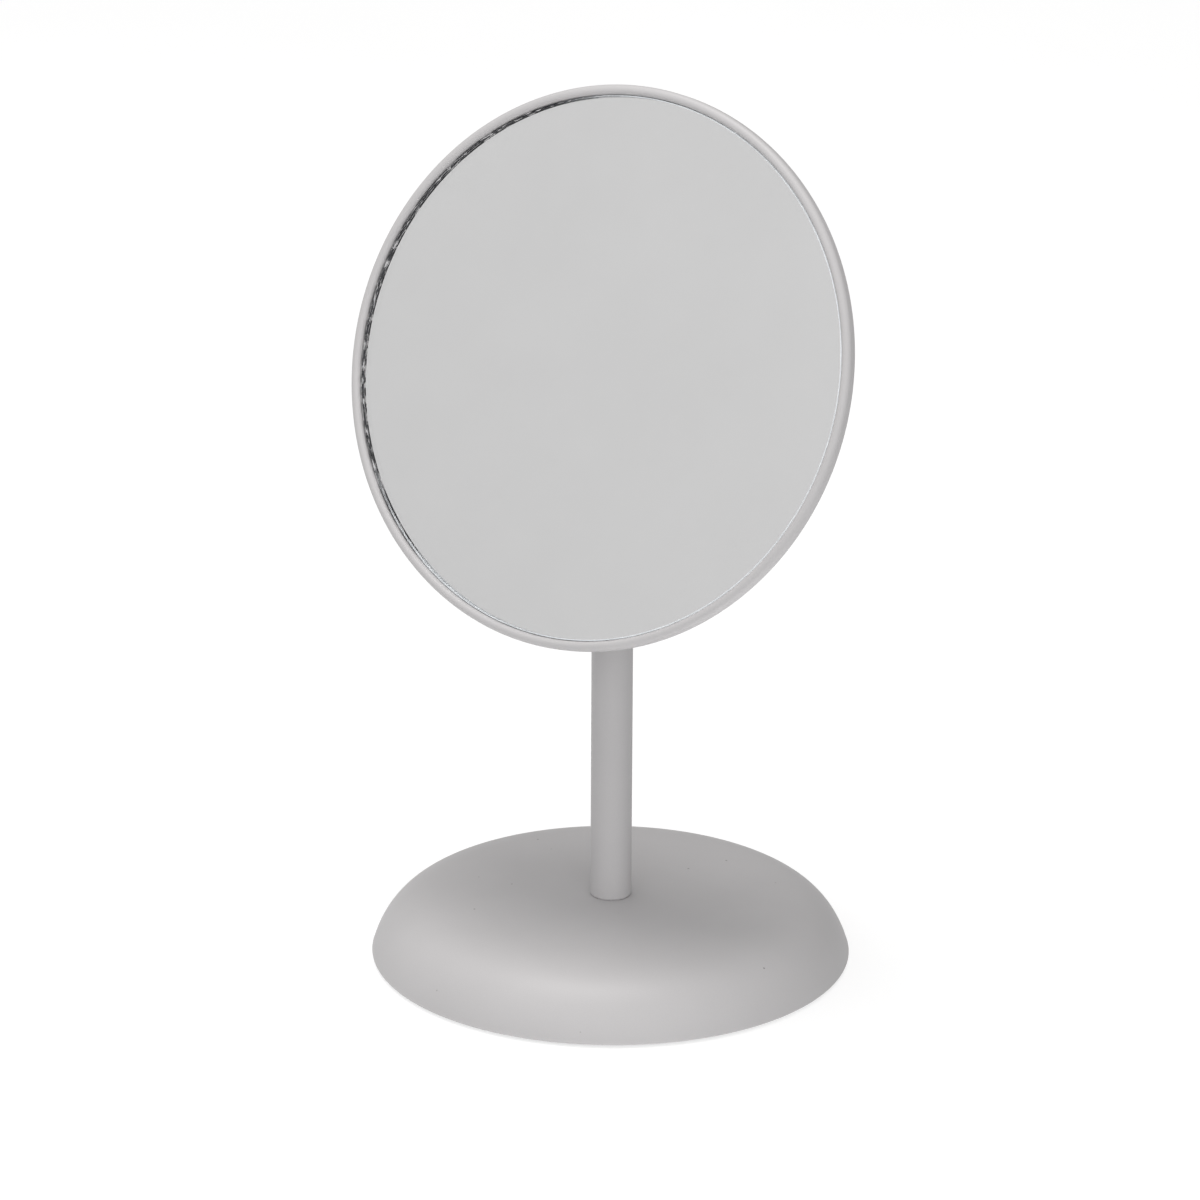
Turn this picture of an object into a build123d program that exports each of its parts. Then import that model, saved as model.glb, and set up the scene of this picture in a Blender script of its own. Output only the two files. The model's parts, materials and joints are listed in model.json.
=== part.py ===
from build123d import *
import math
import os

# Extendable table mirror: weighted dome base, telescopic stem, tilting round head.
# Millimetres. The origin is the centre of the underside, +Z runs up the stem and the mirror faces -Y.
# The model stands as it is stored: stem pushed in, head tilted back by REST_TILT.

# ---- base ----
BASE_RADIUS = 70.0
SKIRT_Z = 0.8             # lowest edge of the pressed dome, just clear of the table
DOME_RISE = 17.2          # from the skirt edge to the crown
CROWN_POWER = 10.0        # superellipse power across the dome, high for a flat crown
SHOULDER_POWER = 0.82     # superellipse power down the dome, low for a full shoulder
DOME_STEPS = 9
CROWN_FLAT = 0.5          # share of the radius over which the crown is flat
SHELL_WALL = 1.0
PAD_RADIUS = 66.0
PAD_TOP = 1.5
COVER_RADIUS = 67.8
COVER_TOP = 3.0
BALLAST_RADIUS = 56.0
BALLAST_TOP = 14.0
BOSS_RADIUS = 14.0
BOLT_POCKET_RADIUS = 11.0
BOLT_POCKET_TOP = 11.5
COVER_SCREW_CIRCLE = 40.0
COVER_SCREW_COUNT = 3
COVER_SCREW_LENGTH = 8.0
EDGE_BREAK = 0.4          # small chamfers on moulded and turned pieces

# ---- stem ----
OUTER_RADIUS = 6.0
INNER_RADIUS = 4.0
TUBE_WALL = 0.8
OUTER_TOP = 161.5
INNER_TOP = 168.0
TRAVEL = 80.0
FLANGE_THICKNESS = 1.5
PLUG_LENGTH = 16.0
PLUG_SET_BACK = 0.1       # so that the tube's foot, not the plug, bears on the dome
PLUG_END = 3.0            # of solid plug above the bolt's hole
GLIDE_LENGTH = 8.0
GLIDE_SLIT = 1.0
SPINDLE_RADIUS = 3.0
FLANGE_REACH = 0.6        # of the spindle's flange past the inner tube
SPIGOT_LENGTH = 12.0
STOP_GAP = 0.3            # left at each end of the travel
FIT = 0.05                # radial clearance of running fits
PRESS = 0.02              # radial clearance drawn at pressed joints
LEAD_IN = 0.8             # taper on the end of a plug
FOOT_CHAMFER = 0.25       # round the outer tube's foot

# ---- tilt hinge, measured from the tilt axis ----
PIVOT_Z = 177.8
REST_TILT = 20.5
COLLAR_RISE = 2.0         # of the knuckle's collar above the inner tube
TONGUE_HALF = 3.0
KNUCKLE_RADIUS = 4.5
NECK_HALF = 2.9
PIN_RADIUS = 2.0
FRICTION_WASHER = 0.6
LUG_THICKNESS = 1.5
LUG_RADIUS = 5.0
PLATE_HALF_WIDTH = 20.0
PLATE_HALF_HEIGHT = 12.0
PLATE_THICKNESS = 1.2
PLATE_CORNER = 4.0
WINDOW_WIDTH = 10.0       # of the openings that the lugs are folded out of
WINDOW_GAP = 1.5
RIVET_X = 13.0
RIVET_Y = 8.75
RIVET_RADIUS = 1.5
RIVET_HEAD = 2.5
RIVET_TAIL = 2.4
TAIL_HEIGHT = 0.5
TAIL_HOLE = 3.0           # in the foam, over each rivet's tail

# ---- head, heights along the mirror's normal from the tilt axis ----
HEAD_RADIUS = 80.0
PAN_REAR = 7.7
SHEET = 0.8
REAR_CORNER = 1.5
LIP_CENTRE = 10.8         # where the outer wall starts to roll inward
LIP_ROLL = 1.6
LIP_INNER_ROLL = 1.2      # where it turns down again, beside the glass
HEM_DEPTH = 3.4           # the rolled edge's leg, down beside the glass
FOAM_THICKNESS = 0.6
FOAM_MARGIN = 3.0         # bare glass round the foam
SILVER_THICKNESS = 0.1
GLASS_THICKNESS = 2.0
GLASS_GAP = 0.15          # round the glass, inside the rolled edge
GLASS_ARRIS = 0.3         # ground chamfer on the glass's edges

# ---- fasteners ----
STEM_BOLT_RADIUS = 3.0
STEM_BOLT_FLATS = 10.0
STEM_BOLT_HEAD = 4.0
STEM_BOLT_LENGTH = 20.0
STEM_WASHER = 1.6
STEM_WASHER_RADIUS = 9.0
SPRING_WASHER_RADIUS = 5.6
SPLIT = 0.6               # gap in the spring washer
BOLT_TIP = 0.8
BOLT_HOLE = 0.3           # radial clearance of the stem bolt's holes
COVER_SCREW_RADIUS = 1.5
COVER_HOLE = 0.1          # radial clearance of the cover's holes
CROSS_SLOT = (3.2, 0.6, 1.6)
HINGE_BOLT_LENGTH = 16.0
HINGE_HEAD_RADIUS = 3.8
HINGE_HEAD = 2.2
HINGE_SOCKET_FLATS = 2.5
HINGE_SOCKET_DEPTH = 1.3
DISC_SPRING_RADIUS = 4.0
DISC_SPRING = 0.6
HINGE_WASHER_RADIUS = 4.5
HINGE_WASHER = 0.8
NUT_FLATS = 7.0
NUT_HEIGHT = 2.9
NUT_COLLAR = 1.2          # of the locking collar above the hexagon

CROWN_Z = SKIRT_Z + DOME_RISE
TUBE_BORE = OUTER_RADIUS - TUBE_WALL
INNER_BORE = INNER_RADIUS - TUBE_WALL
PLUG_TOP = CROWN_Z + PLUG_LENGTH
SPINDLE_FLANGE = 1.5
JOURNAL_GAP = 0.2
SPINDLE_BOTTOM = PLUG_TOP + STOP_GAP
GLIDE_BOTTOM = SPINDLE_BOTTOM + SPINDLE_FLANGE + JOURNAL_GAP
GLIDE_TOP = GLIDE_BOTTOM + GLIDE_LENGTH
COLLAR_THICKNESS = 1.0
INNER_BOTTOM = GLIDE_TOP + JOURNAL_GAP + COLLAR_THICKNESS
LUG_INSIDE = TONGUE_HALF + FIT + FRICTION_WASHER
LUG_OUTSIDE = LUG_INSIDE + LUG_THICKNESS
PLATE_FACE = PAN_REAR - PLATE_THICKNESS
PAN_FLOOR = PAN_REAR + SHEET
FOAM_TOP = PAN_FLOOR + FOAM_THICKNESS
SILVER_TOP = FOAM_TOP + SILVER_THICKNESS
GLASS_TOP = SILVER_TOP + GLASS_THICKNESS
LIP_INNER_RADIUS = HEAD_RADIUS - LIP_ROLL - LIP_INNER_ROLL
GLASS_RADIUS = LIP_INNER_RADIUS - GLASS_GAP
HEAD_PLACE = Pos(0, 0, PIVOT_Z) * Rot(90 - REST_TILT, 0, 0)
PIN_AXIS = Rot(0, 90, 0)


def turned(outline):
    """A solid of revolution about Z from the straight-sided outline of (radius, height) points."""
    return revolve(make_face(Plane.XZ * Polyline(*outline, close=True)), Axis.Z)


def ring(outer, bottom, top, bore=0.0):
    """A disc, or a ring when it has a bore, between two heights."""
    return turned([(bore, bottom), (outer, bottom), (outer, top), (bore, top)])


def dome_edge(radius, rise):
    """The dome's outline: a flat crown, then a superellipse that is upright where it ends."""
    crown = SKIRT_Z + rise
    points = [(CROWN_FLAT * radius, crown)]
    for step in range(1, DOME_STEPS + 1):
        angle = step / DOME_STEPS * math.pi / 2
        across = radius * math.sin(angle) ** (2 / CROWN_POWER)
        up = rise * abs(math.cos(angle)) ** (2 * SHOULDER_POWER)
        points.append((across, SKIRT_Z + up))
    return [Line((0, crown), points[0]), Spline(*points, tangents=[(1, 0), (0, -1)])]


def screw_places(count, circle):
    """Places evenly round a circle about the origin."""
    return [Rot(0, 0, 360 / count * turn) * Pos(0, circle, 0) for turn in range(count)]


def base_shell():
    outer = dome_edge(BASE_RADIUS, DOME_RISE)
    inner = dome_edge(BASE_RADIUS - SHELL_WALL, DOME_RISE - SHELL_WALL)
    ends = [Line(outer[0] @ 0, inner[0] @ 0), Line(outer[1] @ 1, inner[1] @ 1)]
    shell = revolve(make_face(Plane.XZ * Curve([*outer, *inner, *ends])), Axis.Z)
    return shell - ring(STEM_BOLT_RADIUS + BOLT_HOLE, SKIRT_Z, CROWN_Z + 1)


def ballast_weight():
    disc = turned([
        (0, COVER_TOP), (BALLAST_RADIUS - 1, COVER_TOP), (BALLAST_RADIUS, COVER_TOP + 1),
        (BALLAST_RADIUS, BALLAST_TOP - 2), (BALLAST_RADIUS - 2, BALLAST_TOP),
        (BOSS_RADIUS + 2, BALLAST_TOP), (BOSS_RADIUS, CROWN_Z - SHELL_WALL), (0, CROWN_Z - SHELL_WALL),
    ])
    disc -= ring(BOLT_POCKET_RADIUS, 0, BOLT_POCKET_TOP)
    disc -= ring(STEM_BOLT_RADIUS + BOLT_HOLE, 0, CROWN_Z)
    for place in screw_places(COVER_SCREW_COUNT, COVER_SCREW_CIRCLE):
        disc -= place * ring(COVER_SCREW_RADIUS + PRESS, 0, COVER_TOP + COVER_SCREW_LENGTH)
    return disc


def countersunk(radius, face):
    """The cone of a countersunk head whose flat side is at the given height, pointing up."""
    head = radius * 1.9
    return turned([(0, face), (head, face), (radius, face + head - radius), (0, face + head - radius)])


def base_cover():
    cover = ring(COVER_RADIUS, PAD_TOP, COVER_TOP)
    cover = chamfer(cover.edges().filter_by(GeomType.CIRCLE), EDGE_BREAK)
    for place in screw_places(COVER_SCREW_COUNT, COVER_SCREW_CIRCLE):
        cover -= place * ring(COVER_SCREW_RADIUS + COVER_HOLE, 0, COVER_TOP)
        cover -= place * countersunk(COVER_SCREW_RADIUS + COVER_HOLE, PAD_TOP)
    return cover


def cover_screws():
    screw = countersunk(COVER_SCREW_RADIUS, PAD_TOP)
    screw += ring(COVER_SCREW_RADIUS, PAD_TOP, PAD_TOP + COVER_SCREW_LENGTH)
    for turn in (0, 90):
        screw -= Rot(0, 0, turn) * Pos(0, 0, PAD_TOP) * Box(*CROSS_SLOT)
    return Compound([place * screw for place in screw_places(COVER_SCREW_COUNT, COVER_SCREW_CIRCLE)])


def anti_slip_pad():
    return chamfer(ring(PAD_RADIUS, 0, PAD_TOP).edges().group_by(Axis.Z)[-1], EDGE_BREAK)


def hexagon_head(flats, bottom, height):
    """A hexagon prism with its corners turned off at both ends."""
    corner = flats / math.sqrt(3)
    blank = Pos(0, 0, bottom) * extrude(RegularPolygon(corner, 6), height)
    turn_off = corner - flats / 2
    return blank & turned([
        (0, bottom), (flats / 2, bottom), (corner, bottom + turn_off / 2),
        (corner, bottom + height - turn_off / 2), (flats / 2, bottom + height), (0, bottom + height),
    ])


def washer_stack():
    """Heights of the stem bolt's flat washer, spring washer and head, from the ballast down."""
    flat = BOLT_POCKET_TOP - STEM_WASHER
    split = flat - STEM_WASHER
    return flat, split, split - STEM_BOLT_HEAD


def stem_bolt():
    split, head = washer_stack()[1:]
    tip = split + STEM_BOLT_LENGTH
    shank = turned([(0, split), (STEM_BOLT_RADIUS, split), (STEM_BOLT_RADIUS, tip - BOLT_TIP),
                    (STEM_BOLT_RADIUS - BOLT_TIP, tip), (0, tip)])
    return shank + hexagon_head(STEM_BOLT_FLATS, head, STEM_BOLT_HEAD)


def stem_washer():
    washer = ring(STEM_WASHER_RADIUS, washer_stack()[0], BOLT_POCKET_TOP, bore=STEM_BOLT_RADIUS + BOLT_HOLE)
    return chamfer(washer.edges().group_by(Axis.Z)[0].sort_by(Edge.length)[-1], EDGE_BREAK)


def spring_washer():
    flat, split = washer_stack()[:2]
    coil = ring(SPRING_WASHER_RADIUS, split, flat, bore=STEM_BOLT_RADIUS + COVER_HOLE)
    cut = Box(SPRING_WASHER_RADIUS, SPLIT, 4 * STEM_WASHER)
    return coil - Pos(SPRING_WASHER_RADIUS, 0, (flat + split) / 2) * Rot(30, 0, 0) * cut


def threaded_plug():
    radius = TUBE_BORE - PRESS
    bottom = CROWN_Z + PLUG_SET_BACK
    plug = turned([
        (0, bottom), (radius - LEAD_IN, bottom), (radius, bottom + LEAD_IN),
        (radius, PLUG_TOP - LEAD_IN), (radius - LEAD_IN, PLUG_TOP), (0, PLUG_TOP),
    ])
    return plug - ring(STEM_BOLT_RADIUS + FIT, CROWN_Z, PLUG_TOP - PLUG_END)


def outer_tube():
    tube = ring(OUTER_RADIUS, CROWN_Z, OUTER_TOP, bore=TUBE_BORE)
    foot = tube.edges().group_by(Axis.Z)[0].sort_by(Edge.length)[-1]
    return chamfer(foot, FOOT_CHAMFER)


def guide_bush():
    sleeve = GLIDE_TOP + TRAVEL + STOP_GAP
    top = OUTER_TOP + FLANGE_THICKNESS
    bore = INNER_RADIUS + FIT
    return turned([
        (bore + EDGE_BREAK, sleeve), (TUBE_BORE - EDGE_BREAK, sleeve), (TUBE_BORE - PRESS, sleeve + LEAD_IN),
        (TUBE_BORE - PRESS, OUTER_TOP), (OUTER_RADIUS, OUTER_TOP), (OUTER_RADIUS, top - EDGE_BREAK),
        (OUTER_RADIUS - EDGE_BREAK, top), (bore + EDGE_BREAK, top), (bore, top - EDGE_BREAK),
        (bore, sleeve + LEAD_IN),
    ])


def glide_ring():
    collar = turned([
        (SPINDLE_RADIUS + FIT, GLIDE_BOTTOM), (TUBE_BORE - EDGE_BREAK, GLIDE_BOTTOM),
        (TUBE_BORE - FIT, GLIDE_BOTTOM + LEAD_IN), (TUBE_BORE - FIT, GLIDE_TOP - LEAD_IN),
        (TUBE_BORE - EDGE_BREAK, GLIDE_TOP), (SPINDLE_RADIUS + FIT, GLIDE_TOP),
    ])
    slit = Box(GLIDE_SLIT, 2 * TUBE_BORE, 2 * GLIDE_LENGTH)
    return collar - Pos(0, TUBE_BORE, (GLIDE_BOTTOM + GLIDE_TOP) / 2) * slit


def glide_spindle():
    journal = SPINDLE_BOTTOM + SPINDLE_FLANGE
    tip = INNER_BOTTOM + SPIGOT_LENGTH
    flange = INNER_RADIUS + FLANGE_REACH
    return turned([
        (0, SPINDLE_BOTTOM), (flange - EDGE_BREAK, SPINDLE_BOTTOM), (flange, SPINDLE_BOTTOM + EDGE_BREAK),
        (flange, journal), (SPINDLE_RADIUS, journal), (SPINDLE_RADIUS, INNER_BOTTOM - COLLAR_THICKNESS),
        (INNER_RADIUS, INNER_BOTTOM - COLLAR_THICKNESS), (INNER_RADIUS, INNER_BOTTOM),
        (INNER_BORE - PRESS, INNER_BOTTOM), (INNER_BORE - PRESS, tip - LEAD_IN), (INNER_BORE - LEAD_IN, tip),
        (0, tip),
    ])


def inner_tube():
    return ring(INNER_RADIUS, INNER_BOTTOM, INNER_TOP, bore=INNER_BORE)


def hinge_knuckle():
    collar_top = INNER_TOP + COLLAR_RISE
    tip = INNER_TOP - SPIGOT_LENGTH
    stalk = turned([
        (0, tip), (INNER_BORE - LEAD_IN, tip), (INNER_BORE - PRESS, tip + LEAD_IN),
        (INNER_BORE - PRESS, INNER_TOP), (INNER_RADIUS, INNER_TOP), (INNER_RADIUS, collar_top - EDGE_BREAK),
        (INNER_RADIUS - EDGE_BREAK, collar_top), (0, collar_top),
    ])
    eye = Pos(0, 0, PIVOT_Z) * PIN_AXIS * Cylinder(KNUCKLE_RADIUS, 2 * TONGUE_HALF)
    root = collar_top - EDGE_BREAK
    neck = Pos(0, 0, (root + PIVOT_Z) / 2) * Box(
        2 * TONGUE_HALF - EDGE_BREAK, 2 * NECK_HALF, PIVOT_Z - root)
    bore = Pos(0, 0, PIVOT_Z) * PIN_AXIS * Cylinder(PIN_RADIUS + FIT, 4 * TONGUE_HALF)
    return stalk + neck + eye - bore


def on_pin(piece):
    """Turns a piece built along Z so that it lies along the tilt axis, +Z towards +X."""
    return HEAD_PLACE * PIN_AXIS * piece


def friction_washers():
    inside = LUG_INSIDE - FRICTION_WASHER
    washer = ring(KNUCKLE_RADIUS - EDGE_BREAK / 2, inside, LUG_INSIDE, bore=PIN_RADIUS + FIT)
    return Compound([on_pin(washer), on_pin(Rot(180, 0, 0) * washer)])


def hinge_bracket():
    plate = Pos(0, 0, PLATE_FACE) * extrude(
        RectangleRounded(2 * PLATE_HALF_WIDTH, 2 * PLATE_HALF_HEIGHT, PLATE_CORNER), PLATE_THICKNESS)
    lug_middle = (LUG_INSIDE + LUG_OUTSIDE) / 2
    window_middle = LUG_OUTSIDE + WINDOW_GAP + WINDOW_WIDTH / 2
    for side in (-1, 1):
        web = Pos(side * lug_middle, 0, PLATE_FACE / 2) * Box(LUG_THICKNESS, 2 * LUG_RADIUS, PLATE_FACE)
        eye = Pos(side * lug_middle, 0, 0) * PIN_AXIS * Cylinder(LUG_RADIUS, LUG_THICKNESS)
        plate += web + eye
        window = Box(WINDOW_WIDTH, 2 * LUG_RADIUS + 1, 4 * PLATE_THICKNESS)
        plate -= Pos(side * window_middle, 0, PAN_REAR) * window
        for up in (-1, 1):
            hole = Cylinder(RIVET_RADIUS + PRESS, 4 * PLATE_THICKNESS)
            plate -= Pos(side * RIVET_X, up * RIVET_Y, PAN_REAR) * hole
    plate -= PIN_AXIS * Cylinder(PIN_RADIUS + FIT, 4 * LUG_OUTSIDE)
    return HEAD_PLACE * plate


def hinge_bolt():
    head_top = LUG_OUTSIDE + HINGE_HEAD
    tip = LUG_OUTSIDE - HINGE_BOLT_LENGTH
    bolt = turned([
        (0, tip), (PIN_RADIUS - EDGE_BREAK, tip), (PIN_RADIUS, tip + EDGE_BREAK), (PIN_RADIUS, LUG_OUTSIDE),
        (HINGE_HEAD_RADIUS, LUG_OUTSIDE), (HINGE_HEAD_RADIUS, LUG_OUTSIDE + 0.2 * HINGE_HEAD),
        (0.87 * HINGE_HEAD_RADIUS, LUG_OUTSIDE + 0.7 * HINGE_HEAD), (0.6 * HINGE_HEAD_RADIUS, head_top),
        (0, head_top),
    ])
    hexagon = RegularPolygon(HINGE_SOCKET_FLATS / math.sqrt(3), 6)
    socket = Pos(0, 0, head_top - HINGE_SOCKET_DEPTH) * extrude(hexagon, 2 * HINGE_SOCKET_DEPTH)
    return on_pin(bolt - socket)


def disc_spring():
    bore = PIN_RADIUS + COVER_HOLE
    cone = turned([(bore, DISC_SPRING / 3), (DISC_SPRING_RADIUS, 0),
                   (DISC_SPRING_RADIUS, DISC_SPRING * 2 / 3), (bore, DISC_SPRING)])
    return on_pin(Pos(0, 0, -LUG_OUTSIDE) * Rot(180, 0, 0) * cone)


def hinge_washer():
    face = LUG_OUTSIDE + DISC_SPRING
    washer = ring(HINGE_WASHER_RADIUS, face, face + HINGE_WASHER, bore=PIN_RADIUS + COVER_HOLE)
    return on_pin(Rot(180, 0, 0) * washer)


def lock_nut():
    seat = LUG_OUTSIDE + DISC_SPRING + HINGE_WASHER
    shoulder = seat + NUT_HEIGHT
    top = shoulder + NUT_COLLAR
    nut = hexagon_head(NUT_FLATS, seat, NUT_HEIGHT)
    nut += turned([
        (0, shoulder), (0.46 * NUT_FLATS, shoulder), (0.43 * NUT_FLATS, top - 0.3 * NUT_COLLAR),
        (0.37 * NUT_FLATS, top), (0, top),
    ])
    nut -= ring(PIN_RADIUS + PRESS, 0, shoulder + 2 * NUT_COLLAR)
    return on_pin(Rot(180, 0, 0) * nut)


def bracket_rivets():
    rivet = turned([
        (0, PLATE_FACE - 1), (0.4 * RIVET_HEAD, PLATE_FACE - 0.95), (0.76 * RIVET_HEAD, PLATE_FACE - 0.6),
        (RIVET_HEAD, PLATE_FACE), (RIVET_RADIUS, PLATE_FACE), (RIVET_RADIUS, PAN_FLOOR),
        (RIVET_TAIL, PAN_FLOOR), (0.9 * RIVET_TAIL, PAN_FLOOR + 0.8 * TAIL_HEIGHT),
        (0, PAN_FLOOR + TAIL_HEIGHT),
    ])
    places = [Pos(x * RIVET_X, y * RIVET_Y, 0) for x in (-1, 1) for y in (-1, 1)]
    return Compound([HEAD_PLACE * place * rivet for place in places])


def rivet_holes(radius):
    holes = [Pos(x * RIVET_X, y * RIVET_Y, PAN_FLOOR) * Cylinder(radius, 4) for x in (-1, 1) for y in (-1, 1)]
    return Compound(holes)


def mirror_pan():
    """A pressed dish whose wall rolls inward over the front and turns down beside the glass."""
    wall = HEAD_RADIUS - SHEET
    roll_middle = HEAD_RADIUS - LIP_ROLL
    inner_roll = LIP_ROLL - SHEET
    corner = (HEAD_RADIUS - REAR_CORNER, PAN_REAR + REAR_CORNER)
    leg_in = LIP_INNER_RADIUS
    leg_out = LIP_INNER_RADIUS + SHEET
    leg_reach = leg_out - roll_middle
    leg_top = LIP_CENTRE + math.sqrt(inner_roll ** 2 - leg_reach ** 2)
    leg_angle = math.degrees(math.acos(leg_reach / inner_roll))
    crest = LIP_CENTRE + LIP_ROLL
    leg_end = crest - HEM_DEPTH
    section = Curve([
        Line((0, PAN_REAR), (corner[0], PAN_REAR)),
        CenterArc(corner, REAR_CORNER, -90, 90),
        Line((HEAD_RADIUS, corner[1]), (HEAD_RADIUS, LIP_CENTRE)),
        CenterArc((roll_middle, LIP_CENTRE), LIP_ROLL, 0, 90),
        CenterArc((roll_middle, crest - LIP_INNER_ROLL), LIP_INNER_ROLL, 90, 90),
        Polyline((leg_in, crest - LIP_INNER_ROLL), (leg_in, leg_end), (leg_out, leg_end), (leg_out, leg_top)),
        CenterArc((roll_middle, LIP_CENTRE), inner_roll, 0, leg_angle),
        Line((wall, LIP_CENTRE), (wall, corner[1])),
        CenterArc(corner, REAR_CORNER - SHEET, -90, 90),
        Polyline((corner[0], PAN_FLOOR), (0, PAN_FLOOR), (0, PAN_REAR)),
    ])
    pan = revolve(make_face(Plane.XZ * section), Axis.Z)
    return HEAD_PLACE * (pan - rivet_holes(RIVET_RADIUS + PRESS))


def foam_pad():
    return HEAD_PLACE * (ring(GLASS_RADIUS - FOAM_MARGIN, PAN_FLOOR, FOAM_TOP) - rivet_holes(TAIL_HOLE))


def silver_backing():
    return HEAD_PLACE * ring(GLASS_RADIUS - GLASS_ARRIS, FOAM_TOP, SILVER_TOP)


def mirror_glass():
    glass = chamfer(ring(GLASS_RADIUS, SILVER_TOP, GLASS_TOP).edges().filter_by(GeomType.CIRCLE), GLASS_ARRIS)
    return HEAD_PLACE * glass


PIECES = [
    base_shell, ballast_weight, base_cover, cover_screws, anti_slip_pad, stem_bolt, stem_washer,
    spring_washer, threaded_plug, outer_tube, guide_bush, glide_ring, glide_spindle, inner_tube,
    hinge_knuckle, friction_washers, hinge_bracket, hinge_bolt, disc_spring, hinge_washer, lock_nut,
    bracket_rivets, mirror_pan, foam_pad, silver_backing, mirror_glass,
]

os.makedirs("parts", exist_ok=True)
for piece in PIECES:
    export_step(piece(), f"parts/{piece.__name__}.step")
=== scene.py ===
import json
import math

import bpy
from mathutils import Matrix, Vector, noise

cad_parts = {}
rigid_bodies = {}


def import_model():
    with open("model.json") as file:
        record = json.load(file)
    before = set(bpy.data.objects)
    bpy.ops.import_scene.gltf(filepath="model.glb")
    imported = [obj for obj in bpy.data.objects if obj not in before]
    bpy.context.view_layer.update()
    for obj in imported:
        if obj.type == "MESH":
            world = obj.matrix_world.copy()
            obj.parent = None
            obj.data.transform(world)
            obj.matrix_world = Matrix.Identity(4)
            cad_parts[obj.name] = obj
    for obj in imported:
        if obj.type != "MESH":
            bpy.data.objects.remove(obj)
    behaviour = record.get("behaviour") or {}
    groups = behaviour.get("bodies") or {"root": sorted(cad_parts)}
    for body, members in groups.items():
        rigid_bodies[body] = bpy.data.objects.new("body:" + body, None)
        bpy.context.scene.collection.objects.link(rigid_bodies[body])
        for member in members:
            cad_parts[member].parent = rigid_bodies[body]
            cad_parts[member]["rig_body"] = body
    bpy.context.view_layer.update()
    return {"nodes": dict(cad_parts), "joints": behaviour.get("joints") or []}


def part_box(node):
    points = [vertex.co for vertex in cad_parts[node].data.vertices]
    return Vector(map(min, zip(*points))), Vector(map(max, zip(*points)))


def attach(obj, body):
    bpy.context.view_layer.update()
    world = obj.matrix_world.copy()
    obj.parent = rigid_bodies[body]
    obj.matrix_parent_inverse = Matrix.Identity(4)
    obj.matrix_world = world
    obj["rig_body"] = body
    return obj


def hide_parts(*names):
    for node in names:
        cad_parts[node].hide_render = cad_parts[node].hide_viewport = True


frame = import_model()

MM = 0.001
TURN_STEPS = 256          # facets round every turned piece

# ---- the camera: azimuth from the front towards +X, the right as seen from the front ----
CAMERA_AZIMUTH = 30.87
CAMERA_ELEVATION = 19.56
CAMERA_ROLL = 0.3
CAMERA_DISTANCE = 1.5
CAMERA_LENS = 156.7
AIM_RIGHT = -3.62 * MM    # from the stem's axis, in the camera's own right
AIM_HEIGHT = 109.15 * MM

# ---- the studio: azimuth from the front towards +X, elevation, strength ----
SOFT_LIGHTS = [
    (0, -90, 5.8), (0, 55, 0.40), (180, 55, 0.15), (300, 55, 0.05),
    (0, 15, 0.31), (45, 15, 1.80), (270, 15, 0.85), (315, 15, 0.18),
]
SOFTNESS = 6.0            # power of the cosine round each direction
ALL_ROUND = 0.286
OVERHEAD_POWER = 11.6     # watts
FLOOR_DROP = 0.02 * MM    # keeps the floor clear of the pad that stands on it
TABLE_GLOW = 0.70         # the pale table is lit from within, so that hardly a shadow shows on it

# ---- details of section that the frame's boxes don't give ----
CROWN_POWER = 10.0        # the dome is a superellipse, as in the CAD model
SHOULDER_POWER = 0.82
CROWN_FLAT = 0.5
DOME_STEPS = 48
SHELL_WALL = 1.0 * MM
TUBE_WALL = 0.8 * MM
SHEET = 0.8 * MM
REAR_CORNER = 1.5 * MM
LIP_ROLL = 1.6 * MM
LIP_INNER_ROLL = 1.2 * MM
HEM_DEPTH = 3.4 * MM
ARRIS = 0.3 * MM
EDGE_WANDER = 0.06 * MM   # how unevenly the glass's edge is ground
PAINTED_EDGE_GLOW = 0.12          # strength of the frosted edge's glow: painted light, though the edge is no lamp
DARK_EDGE_SIDE = 160.0      # degrees from +X, going up, to the middle of the edge's dark stretch: partly backing paint, partly painted shade
GAP_SHADOW_SIDE = 180.0    # and of the longer stretch where only its front third is dark: a painted shadow of the gap beside the lip
DARK_EDGE_FADE = (0.38, 0.66)     # shares of the radius, out along that middle, where the dark starts and is whole
GAP_SHADOW_FADE = (0.55, 0.66)
STREAKS_ALONG = 300       # features to the metre in the streaks along the edge, which place the painted glints and the edge's bumps
STREAKS_ACROSS = 1500     # and through the glass's thickness
SILVER_GAP = 0.02 * MM


# ------------------------------------------------------------------ places from the frame

def joint(name):
    return next(j for j in frame["joints"] if j["name"] == name)


def flat_normal(node):
    """The direction that a disc's widest face looks in, taken on the side the mirror faces."""
    widest = max(frame["nodes"][node].data.polygons, key=lambda face: face.area)
    return widest.normal if widest.normal.y < 0 else -widest.normal


PIVOT = Vector(joint("head_tilt")["pos_m"])
MIRROR_NORMAL = flat_normal("silver_backing").normalized()
HEAD_TURN = Vector((0, 0, 1)).rotation_difference(MIRROR_NORMAL)
HEAD_PLACE = Matrix.Translation(PIVOT) @ HEAD_TURN.to_matrix().to_4x4()


def head_span(node):
    """(lowest height, highest height, radius) of a head node, measured from the pivot along the normal."""
    back = HEAD_PLACE.inverted()
    points = [back @ vertex.co for vertex in frame["nodes"][node].data.vertices]
    heights = [p.z for p in points]
    return min(heights), max(heights), max(p.xy.length for p in points)


# ------------------------------------------------------------------ mesh helpers

def arc(centre, radius, start, turn, steps=10):
    """Points on an arc, in degrees from the outward direction towards up."""
    angles = [math.radians(start + turn * step / steps) for step in range(steps + 1)]
    return [(centre[0] + radius * math.cos(a), centre[1] + radius * math.sin(a)) for a in angles]


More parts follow.
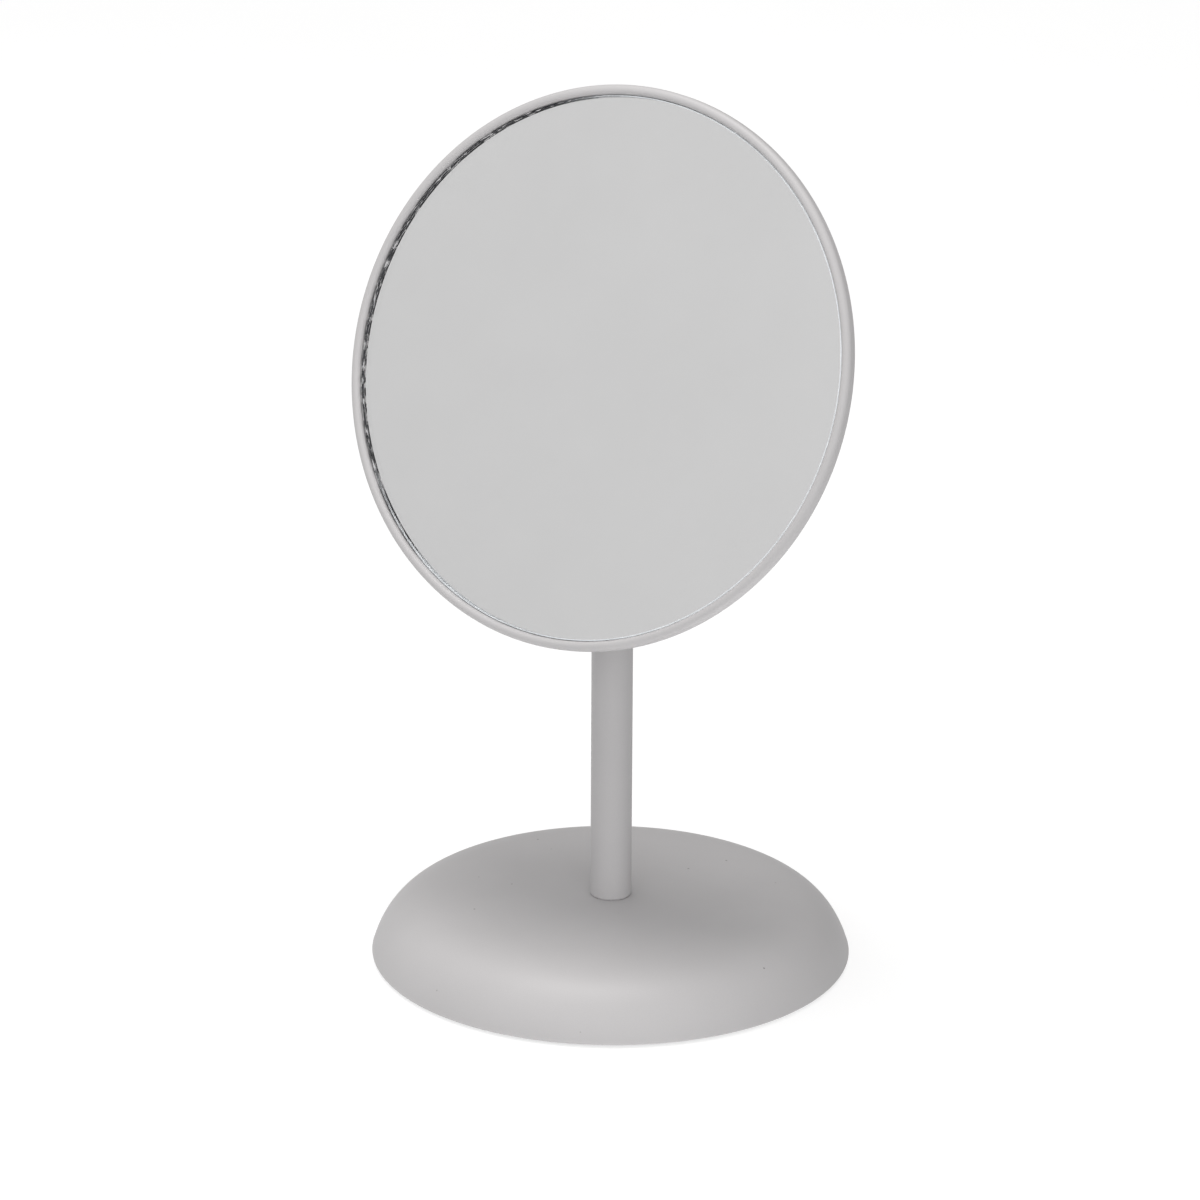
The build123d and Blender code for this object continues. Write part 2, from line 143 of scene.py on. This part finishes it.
def turned(name, outline, closed=False, steps=TURN_STEPS, wobble=None, place=Matrix.Identity(4)):
    """A mesh turned about Z from (radius, height) points. A point on the axis closes it with one vertex."""
    verts, rings = [], []
    for number, (radius, height) in enumerate(outline):
        if radius < 1e-9:
            rings.append([len(verts)])
            verts.append(Vector((0, 0, height)))
            continue
        rings.append(list(range(len(verts), len(verts) + steps)))
        for step in range(steps):
            angle = 2 * math.pi * step / steps
            reach = radius + (wobble(number, angle) if wobble else 0)
            verts.append(Vector((reach * math.cos(angle), reach * math.sin(angle), height)))
    pairs = list(zip(rings, rings[1:] + rings[:1])) if closed else list(zip(rings, rings[1:]))
    faces = []
    for low, high in pairs:
        for step in range(steps):
            after = (step + 1) % steps
            below = [low[step % len(low)], low[after % len(low)]]
            above = [high[after % len(high)], high[step % len(high)]]
            faces.append(list(dict.fromkeys(below + above)))
    mesh = bpy.data.meshes.new(name)
    mesh.from_pydata([place @ v for v in verts], [], faces)
    mesh.validate()
    return smooth_object(name, mesh)


def smooth_object(name, mesh, sharp=35):
    mesh.polygons.foreach_set("use_smooth", [True] * len(mesh.polygons))
    mesh.set_sharp_from_angle(angle=math.radians(sharp))
    mesh.update()
    piece = bpy.data.objects.new(name, mesh)
    bpy.context.scene.collection.objects.link(piece)
    return piece


def stand_for(piece, node, slot, *materials):
    """The piece takes the place of a CAD node, rides where it rides and takes these materials."""
    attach(piece, frame["nodes"][node]["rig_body"])
    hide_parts(node)
    for material in materials:
        piece.data.materials.append(material)
    return piece


# ------------------------------------------------------------------ materials

def new_material(name, **sockets):
    material = bpy.data.materials.new(name)
    material.use_nodes = True
    shader = material.node_tree.nodes["Principled BSDF"]
    for socket, value in sockets.items():
        shader.inputs[socket.replace("_", " ")].default_value = value
    return material, material.node_tree, shader


def add(tree, kind, **settings):
    node = tree.nodes.new(kind)
    for name, value in settings.items():
        if name in node.inputs:
            node.inputs[name].default_value = value
        else:
            setattr(node, name, value)
    return node


def object_place(tree):
    return add(tree, "ShaderNodeTexCoord").outputs["Object"]


def grain(tree, place, scale, detail=3.0, rough=0.55):
    """A noise pattern with this many features to the metre."""
    texture = add(tree, "ShaderNodeTexNoise", Scale=scale, Detail=detail, Roughness=rough)
    tree.links.new(place, texture.inputs["Vector"])
    return texture.outputs["Fac"]


def spread(tree, value, low, high, start=0.3, end=0.7):
    """A number mapped from the pattern's range to low..high."""
    node = add(tree, "ShaderNodeMapRange")
    for socket, number in (("From Min", start), ("From Max", end), ("To Min", low), ("To Max", high)):
        node.inputs[socket].default_value = number
    tree.links.new(value, node.inputs["Value"])
    return node.outputs["Result"]


def blend_colours(tree, factor, first, second, how="MIX"):
    """A colour mixed from two by the factor. Each may be a plain colour or another node's output."""
    node = add(tree, "ShaderNodeMix", data_type="RGBA", blend_type=how)
    sockets = [s for s in node.inputs if s.type == "RGBA"]
    for socket, given in [(node.inputs["Factor"], factor), (sockets[0], first), (sockets[1], second)]:
        if isinstance(given, bpy.types.NodeSocket):
            tree.links.new(given, socket)
        else:
            socket.default_value = given
    return next(s for s in node.outputs if s.type == "RGBA")


def tint(tree, factor, dark, light):
    """A colour between two, by the factor."""
    return blend_colours(tree, factor, (*dark, 1), (*light, 1))


def chain(tree, operation, first, second):
    """One arithmetic step on a node's output, with a number or another output."""
    node = add(tree, "ShaderNodeMath", operation=operation)
    tree.links.new(first, node.inputs[0])
    if isinstance(second, bpy.types.NodeSocket):
        tree.links.new(second, node.inputs[1])
    else:
        node.inputs[1].default_value = second
    return node.outputs["Value"]


def bump(tree, height, strength, distance, onto=None):
    node = add(tree, "ShaderNodeBump", Strength=strength, Distance=distance)
    tree.links.new(height, node.inputs["Height"])
    if onto is not None:
        tree.links.new(onto, node.inputs["Normal"])
    return node.outputs["Normal"]


POWDER = (0.510, 0.499, 0.503)


def powder_coat(name="powder_coat", specks=False):
    """Satin powder coat: a fine orange peel, a finer grit and a slight drift in tone."""
    material, tree, shader = new_material(name, Specular_IOR_Level=0.45)
    place = object_place(tree)
    peel = grain(tree, place, 1100, detail=2.0)
    grit = grain(tree, place, 4200, detail=2.0)
    drift = grain(tree, place, 22, detail=3.0)
    light = tuple(c * 1.025 for c in POWDER)
    dark = tuple(c * 0.972 for c in POWDER)
    colour = tint(tree, spread(tree, drift, 0, 1), dark, light)
    fleck = tint(tree, spread(tree, grit, 0, 1, 0.35, 0.65), (0.965, 0.965, 0.965), (1, 1, 1))
    final = blend_colours(tree, 1.0, colour, fleck, "MULTIPLY")
    if specks:
        final = dust_specks(tree, place, final)
    tree.links.new(final, shader.inputs["Base Color"])
    tree.links.new(spread(tree, grit, 0.44, 0.54), shader.inputs["Roughness"])
    rough = bump(tree, grit, 0.10, 0.00004)
    tree.links.new(bump(tree, peel, 0.16, 0.00012, onto=rough), shader.inputs["Normal"])
    return material


def dust_specks(tree, place, colour):
    """A few pinholes and grains of dust under a millimetre across, darker than the coat."""
    cells = add(tree, "ShaderNodeTexVoronoi", Scale=110.0, Randomness=1.0)
    tree.links.new(place, cells.inputs["Vector"])
    dot = spread(tree, cells.outputs["Distance"], 0.6, 0.0, 0.024, 0.044)
    return blend_colours(tree, dot, colour, (0.10, 0.095, 0.09, 1))


def drawn_steel(name="drawn_steel", colour=(0.62, 0.62, 0.63), rough=(0.22, 0.36), along=(2600, 2600, 14)):
    """Steel with fine scratches along Z."""
    material, tree, shader = new_material(name, Metallic=1.0)
    stretch = add(tree, "ShaderNodeMapping")
    stretch.inputs["Scale"].default_value = along
    tree.links.new(object_place(tree), stretch.inputs["Vector"])
    lines = grain(tree, stretch.outputs["Vector"], 1.0, detail=4.0, rough=0.7)
    dark = tuple(c * 0.86 for c in colour)
    tree.links.new(tint(tree, spread(tree, lines, 0, 1), dark, colour), shader.inputs["Base Color"])
    tree.links.new(spread(tree, lines, *rough), shader.inputs["Roughness"])
    tree.links.new(bump(tree, lines, 0.12, 0.00003), shader.inputs["Normal"])
    return material


def zinc_plate():
    """Bright zinc plate, clouded, with a faint yellow and blue cast."""
    material, tree, shader = new_material("zinc_plate", Metallic=1.0)
    place = object_place(tree)
    cloud = grain(tree, place, 320, detail=4.0)
    fine = grain(tree, place, 3000, detail=2.0)
    cast = tint(tree, spread(tree, cloud, 0, 1), (0.66, 0.65, 0.58), (0.60, 0.63, 0.67))
    tree.links.new(cast, shader.inputs["Base Color"])
    tree.links.new(spread(tree, cloud, 0.24, 0.42), shader.inputs["Roughness"])
    tree.links.new(bump(tree, fine, 0.10, 0.00004), shader.inputs["Normal"])
    return material


def cast_iron():
    material, tree, shader = new_material("dipped_cast_iron", Metallic=0.2)
    place = object_place(tree)
    pits = grain(tree, place, 620, detail=6.0, rough=0.7)
    tree.links.new(tint(tree, spread(tree, pits, 0, 1), (0.012, 0.012, 0.013), (0.045, 0.044, 0.043)),
                   shader.inputs["Base Color"])
    tree.links.new(spread(tree, pits, 0.5, 0.75), shader.inputs["Roughness"])
    tree.links.new(bump(tree, pits, 0.6, 0.0004), shader.inputs["Normal"])
    return material


def plastic(name, colour, scale=1500, rough=(0.42, 0.55), depth=0.00006):
    """Moulded or turned plastic with a fine matt texture."""
    material, tree, shader = new_material(name)
    place = object_place(tree)
    texture = grain(tree, place, scale, detail=2.0)
    dark = tuple(c * 0.88 for c in colour)
    tree.links.new(tint(tree, spread(tree, texture, 0, 1), dark, colour), shader.inputs["Base Color"])
    tree.links.new(spread(tree, texture, *rough), shader.inputs["Roughness"])
    tree.links.new(bump(tree, texture, 0.25, depth), shader.inputs["Normal"])
    return material


def foam(name, colour):
    """Closed-cell foam: small rounded cells that the skin half covers."""
    material, tree, shader = new_material(name, Specular_IOR_Level=0.25)
    place = object_place(tree)
    cells = add(tree, "ShaderNodeTexVoronoi", Scale=1700.0)
    tree.links.new(place, cells.inputs["Vector"])
    depth = cells.outputs["Distance"]
    dark = tuple(c * 0.7 for c in colour)
    # the hollows of the cells are darker: painted shade
    tree.links.new(tint(tree, spread(tree, depth, 0, 1, 0.1, 0.6), dark, colour), shader.inputs["Base Color"])
    tree.links.new(spread(tree, depth, 0.95, 0.8, 0.1, 0.6), shader.inputs["Roughness"])
    tree.links.new(bump(tree, depth, 0.5, 0.0002), shader.inputs["Normal"])
    return material


def clear_glass():
    """The polished faces of the glass, with the faintest haze of handling."""
    material, tree, shader = new_material(
        "clear_glass", Base_Color=(0.992, 0.995, 0.995, 1), Transmission_Weight=1.0, IOR=1.52)
    haze = grain(tree, object_place(tree), 28, detail=5.0, rough=0.6)
    tree.links.new(spread(tree, haze, 0.0, 0.012, 0.45, 0.75), shader.inputs["Roughness"])
    return material


def ground_edge_and_painted_light():
    """The glass's edge: frosted, and dark on a stretch to the left, partly backing paint crept over it and
    partly painted shade where the edge faces away from the light, with a painted shadow of the gap beside the
    lip along its front and broken bright flakes that are painted glints.

    The frosted part glows faintly: painted light, standing in for light that gathers in the glass and leaves
    at its edge.
    """
    material, tree, shader = new_material("ground_edge_and_painted_light", Specular_IOR_Level=0.3, Emission_Strength=PAINTED_EDGE_GLOW)
    place = object_place(tree)
    back, front, radius = head_span("mirror_glass")
    height = along(tree, place, MIRROR_NORMAL)
    streaks = edge_streaks(tree, place, height, radius)
    fine = grain(tree, place, 1500, detail=3.0, rough=0.6)
    # the dark stretch of the edge: partly backing paint, partly painted shade where the edge faces away from
    # the light
    painted = dark_edge_stretch(tree, place, DARK_EDGE_SIDE, DARK_EDGE_FADE, radius)
    # a dark line on the front third of the edge along a longer stretch: painted shadow of the gap beside the
    # lip
    longer = dark_edge_stretch(tree, place, GAP_SHADOW_SIDE, GAP_SHADOW_FADE, radius)
    front_third = spread(tree, height, 0.0, 1.0, back * 0.40 + front * 0.60, back * 0.30 + front * 0.70)
    painted = chain(tree, "MAXIMUM", painted, chain(tree, "MULTIPLY", front_third, longer))
    # the dark colour of that stretch: backing paint and painted shade
    dark = tint(tree, spread(tree, fine, 0, 1), (0.018, 0.018, 0.022), (0.06, 0.06, 0.07))
    # bright flakes in the dark along the streaks: painted glints
    dark_with_glints = blend_colours(tree, spread(tree, streaks, 0.0, 1.0, 0.54, 0.58), dark, (0.92, 0.91, 0.92, 1))
    frost = tint(tree, spread(tree, fine, 0, 1), (0.84, 0.87, 0.90), (0.93, 0.96, 0.98))
    colour = blend_colours(tree, painted, frost, dark_with_glints)
    tree.links.new(colour, shader.inputs["Base Color"])
    # the edge's colour also glows: painted light
    tree.links.new(colour, shader.inputs["Emission Color"])
    tree.links.new(spread(tree, fine, 0.16, 0.42), shader.inputs["Roughness"])
    coarse = bump(tree, streaks, 0.5, 0.0003)
    tree.links.new(bump(tree, fine, 0.35, 0.00012, onto=coarse), shader.inputs["Normal"])
    return material


def dark_edge_stretch(tree, place, middle, fade, radius):
    """1 on the stretch of edge round this angle, down to 0 outside it."""
    start, whole = fade
    return spread(tree, along(tree, place, edge_direction(middle)), 0.0, 1.0, radius * start, radius * whole)


def edge_streaks(tree, place, height, radius):
    """Noise drawn out along the edge of the glass, so that its features are longer than they are wide."""
    middle = edge_direction(DARK_EDGE_SIDE)
    beside = along(tree, place, MIRROR_NORMAL.cross(middle))
    angle = chain(tree, "ARCTAN2", beside, along(tree, place, middle))
    spot = add(tree, "ShaderNodeCombineXYZ")
    tree.links.new(chain(tree, "MULTIPLY", angle, radius * STREAKS_ALONG), spot.inputs["X"])
    tree.links.new(chain(tree, "MULTIPLY", height, STREAKS_ACROSS), spot.inputs["Y"])
    return grain(tree, spot.outputs["Vector"], 1.0, detail=3.0, rough=0.6)


def along(tree, place, direction):
    """How far a place lies from the pivot in this direction."""
    reach = add(tree, "ShaderNodeVectorMath", operation="DOT_PRODUCT")
    tree.links.new(place, reach.inputs[0])
    reach.inputs[1].default_value = direction
    return chain(tree, "SUBTRACT", reach.outputs["Value"], direction.dot(PIVOT))


def edge_direction(degrees):
    """From the mirror's middle towards its edge at this angle from +X, going up."""
    angle = math.radians(degrees)
    right = Vector((1, 0, 0))
    return right * math.cos(angle) + MIRROR_NORMAL.cross(right) * math.sin(angle)


def silvering():
    """Silver seen through the glass: bright, with tiny differences in how evenly it lies."""
    material, tree, shader = new_material("silvering", Metallic=1.0)
    clouds = grain(tree, object_place(tree), 40, detail=4.0)
    tree.links.new(tint(tree, spread(tree, clouds, 0, 1), (0.909, 0.901, 0.902), (0.927, 0.919, 0.920)),
                   shader.inputs["Base Color"])
    tree.links.new(spread(tree, clouds, 0.0, 0.008), shader.inputs["Roughness"])
    return material


def backing_paint():
    return plastic("backing_paint", (0.10, 0.11, 0.12), scale=900)


# ------------------------------------------------------------------ pieces of the base and stem

def dome_outline(radius, rise, foot):
    """From the crown to the skirt: flat, then the superellipse."""
    points = [(0.0, foot + rise), (CROWN_FLAT * radius, foot + rise)]
    first = math.asin(CROWN_FLAT ** (CROWN_POWER / 2))
    for step in range(1, DOME_STEPS + 1):
        angle = first + (math.pi / 2 - first) * step / DOME_STEPS
        across = radius * math.sin(angle) ** (2 / CROWN_POWER)
        up = rise * abs(math.cos(angle)) ** (2 * SHOULDER_POWER)
        points.append((across, foot + up))
    return points


def make_base_shell(material):
    low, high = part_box("base_shell")
    rise = high.z - low.z
    outer = dome_outline(high.x, rise, low.z)
    inner = dome_outline(high.x - SHELL_WALL, rise - SHELL_WALL, low.z)
    hem = arc((high.x - SHELL_WALL / 2, low.z + SHELL_WALL / 2), SHELL_WALL / 2, 0, -180, 8)
    clear = SHELL_WALL * 0.6
    outline = [p for p in outer if p[1] > low.z + clear] + hem
    outline += [p for p in reversed(inner) if p[1] > low.z + clear]
    shell = turned("base_shell_skin", outline)
    return stand_for(shell, "base_shell", "powder_coat", material)


def tube_outline(outer, bore, low, high, edge, foot):
    """A tube's wall, its edges broken by this much and the outer one at its foot by an amount of its own."""
    return [
        (bore, low + edge), (bore + edge, low), (outer - foot * 0.8, low), (outer, low + foot),
        (outer, high - edge), (outer - edge, high), (bore + edge, high), (bore, high - edge),
    ]


def make_tube(node, slot, material, edge, foot):
    low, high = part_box(node)
    outline = tube_outline(high.x, high.x - TUBE_WALL, low.z, high.z, edge, foot)
    tube = turned(node + "_wall", outline, closed=True, steps=128)
    return stand_for(tube, node, slot, material)


# ------------------------------------------------------------------ pieces of the head

def make_pan(material):
    """The dish: flat back, rounded corner, wall, rolled lip and the leg that the roll ends in."""
    rear, crest, radius = head_span("mirror_pan")
    corner = (radius - REAR_CORNER, rear + REAR_CORNER)
    middle = radius - LIP_ROLL
    lip = crest - LIP_ROLL
    leg_in = middle - LIP_INNER_ROLL
    leg_out = leg_in + SHEET
    inner_roll = LIP_ROLL - SHEET
    leg_angle = math.degrees(math.acos((leg_out - middle) / inner_roll))
    leg_end = crest - HEM_DEPTH
    outline = [(0.0, rear), (radius * 0.5, rear)]
    outline += arc(corner, REAR_CORNER, -90, 90, 12)
    outline += arc((middle, lip), LIP_ROLL, 0, 90, 24)
    outline += arc((middle, crest - LIP_INNER_ROLL), LIP_INNER_ROLL, 90, 90, 20)[1:]
    outline += arc((leg_in + SHEET / 2, leg_end + SHEET / 2), SHEET / 2, 180, 180, 8)
    outline += arc((middle, lip), inner_roll, leg_angle, -leg_angle, 16)
    outline += arc(corner, REAR_CORNER - SHEET, 0, -90, 8)
    outline += [(radius * 0.5, rear + SHEET), (0.0, rear + SHEET)]
    pan = turned("mirror_pan_sheet", outline, place=HEAD_PLACE)
    return stand_for(pan, "mirror_pan", "powder_coat", material)


def edge_wander(ring, angle):
    """How far the ground edge strays at this ring of the outline and this angle round the disc."""
    spot = Vector((math.cos(angle), math.sin(angle), ring * 0.37)) * 14
    fine = Vector((math.cos(angle), math.sin(angle), ring * 0.81)) * 60
    return EDGE_WANDER * (0.7 * noise.noise(spot) + 0.5 * noise.noise(fine))


def make_glass(clear, ground):
    low, high, radius = head_span("mirror_glass")
    middle = (low + high) / 2
    radius -= EDGE_WANDER
    outline = [
        (0.0, low), (radius * 0.6, low), (radius - ARRIS * 1.6, low), (radius - ARRIS, low),
        (radius, low + ARRIS), (radius, middle - ARRIS), (radius, middle + ARRIS),
        (radius, high - ARRIS), (radius - ARRIS, high), (radius - ARRIS * 1.6, high),
        (radius * 0.6, high), (0.0, high),
    ]
    edge_rings = range(3, 9)    # the points of the outline that lie on the ground edge

    def wobble(ring, angle):
        return edge_wander(ring, angle) if ring in edge_rings else 0

    glass = turned("mirror_glass_disc", outline, steps=3 * TURN_STEPS, wobble=wobble, place=HEAD_PLACE)
    stand_for(glass, "mirror_glass", "clear_glass", clear, ground)
    for face in glass.data.polygons:
        face.material_index = int(abs(face.normal.dot(MIRROR_NORMAL)) < 0.9)
    return glass


def make_silver(silver, paint):
    low, high, radius = head_span("silver_backing")
    outline = [(0.0, low), (radius - SILVER_GAP, low), (radius, high - SILVER_GAP), (0.0, high - SILVER_GAP)]
    film = turned("silver_film", outline, place=HEAD_PLACE)
    stand_for(film, "silver_backing", "silvering", silver, paint)
    for face in film.data.polygons:
        face.material_index = int(face.normal.dot(MIRROR_NORMAL) < 0.5)
    return film


def dress(node, material, bevel=0.0):
    """A CAD node that stays gets its material and, if a width is given, a fine bevel where its edges are
    hard.
    """
    piece = frame["nodes"][node]
    piece.data.materials.clear()
    piece.data.materials.append(material)
    if bevel:
        rounding = piece.modifiers.new("edges", "BEVEL")
        rounding.width = bevel
        rounding.segments = 2
        rounding.limit_method = "ANGLE"
        rounding.angle_limit = math.radians(40)
        rounding.harden_normals = True


# ------------------------------------------------------------------ room, lights and camera

def make_floor():
    floor = turned("floor", [(radius, -FLOOR_DROP) for radius in (0.0, 1.0, 9.0)], steps=96)
    material, tree, shader = new_material(
        "lit_table", Roughness=0.9, Specular_IOR_Level=0.1,
        Emission_Color=(1, 1, 1, 1), Emission_Strength=TABLE_GLOW)
    tone = grain(tree, object_place(tree), 3.0)
    tree.links.new(tint(tree, spread(tree, tone, 0, 1), (0.34, 0.34, 0.34), (0.36, 0.36, 0.36)),
                   shader.inputs["Base Color"])
    floor.data.materials.append(material)
    floor.visible_diffuse = False      # the light from below is the studio's, set with the rest of it


def towards(azimuth, elevation):
    """The direction at this azimuth, from the front towards +X, and this elevation, in degrees."""
    around, up = math.radians(azimuth), math.radians(elevation)
    return Vector((math.sin(around) * math.cos(up), -math.cos(around) * math.cos(up), math.sin(up)))


def make_world():
    """A pale studio: broad soft lights at these directions over a faint light from all round."""
    world = bpy.data.worlds.new("studio")
    world.use_nodes = True
    tree = world.node_tree
    place = add(tree, "ShaderNodeTexCoord").outputs["Generated"]
    total = None
    for azimuth, elevation, strength in SOFT_LIGHTS:
        facing = add(tree, "ShaderNodeVectorMath", operation="DOT_PRODUCT")
        tree.links.new(place, facing.inputs[0])
        facing.inputs[1].default_value = towards(azimuth, elevation)
        lobe = chain(tree, "MAXIMUM", facing.outputs["Value"], 0.0)
        lobe = chain(tree, "POWER", lobe, SOFTNESS)
        lobe = chain(tree, "MULTIPLY", lobe, strength)
        total = chain(tree, "ADD", lobe, ALL_ROUND if total is None else total)
    tree.links.new(total, tree.nodes["Background"].inputs["Strength"])
    tree.nodes["Background"].inputs["Color"].default_value = (1, 1, 1, 1)
    bpy.context.scene.world = world


def make_overhead():
    """A broad, slightly warm lamp above and a little to the front left."""
    data = bpy.data.lights.new("overhead", "AREA")
    data.shape = "DISK"
    data.size = 0.9
    data.energy = OVERHEAD_POWER
    data.color = (1.0, 0.985, 0.97)
    lamp = bpy.data.objects.new("overhead", data)
    lamp.location = (-0.1, -0.1, 1.6)
    lamp.rotation_mode = "QUATERNION"
    lamp.rotation_quaternion = (Vector((0, 0, 0.12)) - lamp.location).to_track_quat("-Z", "Y")
    bpy.context.scene.collection.objects.link(lamp)


def make_camera():
    data = bpy.data.cameras.new("camera")
    data.lens = CAMERA_LENS
    data.sensor_width = 36
    back = towards(CAMERA_AZIMUTH, CAMERA_ELEVATION)
    right = towards(CAMERA_AZIMUTH + 90, 0)
    camera = bpy.data.objects.new("camera", data)
    camera.location = right * AIM_RIGHT + Vector((0, 0, AIM_HEIGHT)) + back * CAMERA_DISTANCE
    facing = (-back).to_track_quat("-Z", "Y").to_matrix().to_4x4()
    camera.rotation_mode = "QUATERNION"
    camera.rotation_quaternion = (facing @ Matrix.Rotation(math.radians(CAMERA_ROLL), 4, "Z")).to_quaternion()
    bpy.context.scene.collection.objects.link(camera)
    bpy.context.scene.camera = camera


# ------------------------------------------------------------------ the whole

make_camera()
coat = powder_coat()
speckled_coat = powder_coat("speckled_powder_coat", specks=True)
make_base_shell(speckled_coat)
make_tube("outer_tube", "powder_coat", coat, edge=0.25 * MM, foot=0.5 * MM)
make_tube("inner_tube", "satin_steel", drawn_steel(), edge=0.15 * MM, foot=0.15 * MM)
make_pan(coat)
make_glass(clear_glass(), ground_edge_and_painted_light())
make_silver(silvering(), backing_paint())

zinc = zinc_plate()
acetal = plastic("grey_acetal", (0.42, 0.42, 0.41))
for node in ("cover_screws", "stem_bolt", "stem_washer", "spring_washer", "threaded_plug", "hinge_bolt",
             "disc_spring", "hinge_washer", "lock_nut", "bracket_rivets"):
    dress(node, zinc)
for node in ("guide_bush", "glide_ring", "glide_spindle"):
    dress(node, acetal)
dress("ballast_weight", cast_iron())
dress("base_cover", plastic("black_plastic", (0.018, 0.018, 0.019)))
dress("anti_slip_pad", foam("black_foam", (0.022, 0.022, 0.023)))
dress("foam_pad", foam("white_foam", (0.75, 0.75, 0.73)))
dress("friction_washers", plastic("fibre", (0.16, 0.075, 0.045)))
dress("hinge_bracket", coat, bevel=0.25 * MM)
dress("hinge_knuckle", coat, bevel=0.25 * MM)

make_floor()
make_world()
make_overhead()
bpy.context.scene.view_settings.view_transform = "Standard"
